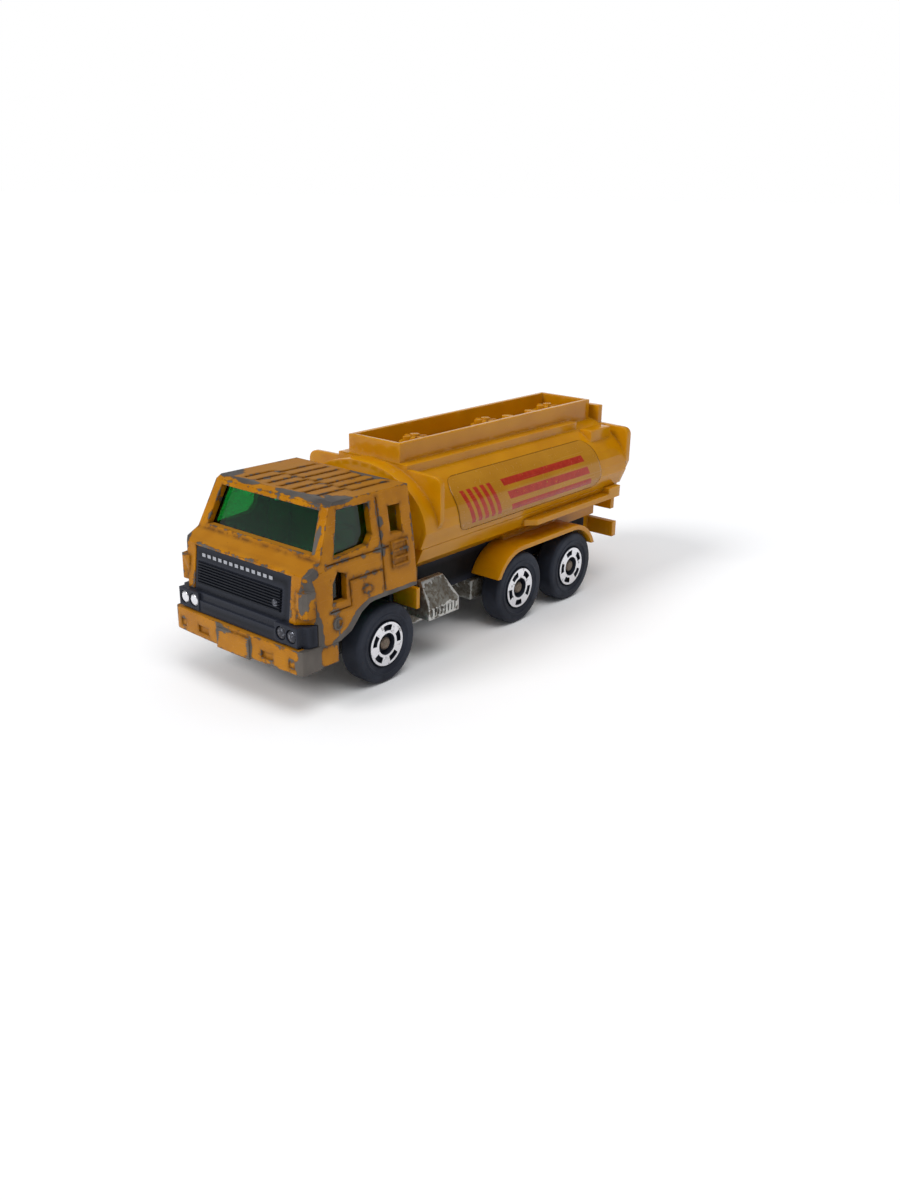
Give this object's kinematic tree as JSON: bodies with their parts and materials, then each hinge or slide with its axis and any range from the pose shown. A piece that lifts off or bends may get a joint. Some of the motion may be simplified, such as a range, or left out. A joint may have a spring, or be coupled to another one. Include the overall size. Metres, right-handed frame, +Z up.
{
  "type": "die-cast toy tanker truck",
  "caption": "Pocket-size cab-over toy tanker truck with a painted metal cab, moulded tank, bare metal base and free-rolling wheels on sprung axles.",
  "frame": {"origin": "on the ground under the middle of the truck's overall box", "axes": "+Z up, -Y the way the truck drives, +X its left side"},
  "size_m": [0.0254, 0.0756, 0.03],
  "materials": {
    "cab_paint": "chipped gloss enamel over zinc",
    "black_plastic": "satin moulded",
    "green_glazing": "clear green moulding",
    "bare_zinc": "weathered bare casting",
    "yellow_plastic": "gloss moulded",
    "rivet_steel": "dull",
    "axle_steel": "tarnished",
    "wheel_plastic": "satin moulded with foil ring",
    "spring_steel": "strip",
    "label_film": "aged paper label"
  },
  "bodies": {
    "chassis": {"cab_casting": "cab_paint", "grille_insert": "black_plastic", "glazing": "green_glazing", "chassis_base": "bare_zinc", "frame_rails": "black_plastic", "tank_shell": "yellow_plastic", "tank_bed": "yellow_plastic", "rivets": "rivet_steel", "spring_front": "spring_steel", "spring_middle": "spring_steel", "spring_rear": "spring_steel", "side_label_left": "label_film", "side_label_right": "label_film"},
    "front_axle": {"axle_front": "axle_steel"},
    "middle_axle": {"axle_middle": "axle_steel"},
    "rear_axle": {"axle_rear": "axle_steel"},
    "front_left_wheel": {"wheel_front_left": "wheel_plastic"},
    "front_right_wheel": {"wheel_front_right": "wheel_plastic"},
    "middle_left_wheel": {"wheel_middle_left": "wheel_plastic"},
    "middle_right_wheel": {"wheel_middle_right": "wheel_plastic"},
    "rear_left_wheel": {"wheel_rear_left": "wheel_plastic"},
    "rear_right_wheel": {"wheel_rear_right": "wheel_plastic"}
  },
  "joints": [
    {"name": "front_axle_bounce", "type": "slide", "parent": "chassis", "child": "front_axle", "axis": [0, 0, 1], "range_m": [0, 0.0004], "stiffness_N_per_m": 250, "springref_m": -0.001, "deforming": ["spring_front"]},
    {"name": "middle_axle_bounce", "type": "slide", "parent": "chassis", "child": "middle_axle", "axis": [0, 0, 1], "range_m": [0, 0.0004], "stiffness_N_per_m": 250, "springref_m": -0.001, "deforming": ["spring_middle"]},
    {"name": "rear_axle_bounce", "type": "slide", "parent": "chassis", "child": "rear_axle", "axis": [0, 0, 1], "range_m": [0, 0.0004], "stiffness_N_per_m": 250, "springref_m": -0.001, "deforming": ["spring_rear"]},
    {"name": "front_left_spin", "type": "hinge", "parent": "front_axle", "child": "front_left_wheel", "pos_m": [0.0103, -0.0214, 0.00558], "axis": [1, 0, 0], "continuous": true},
    {"name": "front_right_spin", "type": "hinge", "parent": "front_axle", "child": "front_right_wheel", "pos_m": [-0.0103, -0.0214, 0.00558], "axis": [1, 0, 0], "continuous": true},
    {"name": "middle_left_spin", "type": "hinge", "parent": "middle_axle", "child": "middle_left_wheel", "pos_m": [0.0103, 0.0083, 0.00558], "axis": [1, 0, 0], "continuous": true},
    {"name": "middle_right_spin", "type": "hinge", "parent": "middle_axle", "child": "middle_right_wheel", "pos_m": [-0.0103, 0.0083, 0.00558], "axis": [1, 0, 0], "continuous": true},
    {"name": "rear_left_spin", "type": "hinge", "parent": "rear_axle", "child": "rear_left_wheel", "pos_m": [0.0103, 0.0221, 0.00558], "axis": [1, 0, 0], "continuous": true},
    {"name": "rear_right_spin", "type": "hinge", "parent": "rear_axle", "child": "rear_right_wheel", "pos_m": [-0.0103, 0.0221, 0.00558], "axis": [1, 0, 0], "continuous": true}
  ]
}
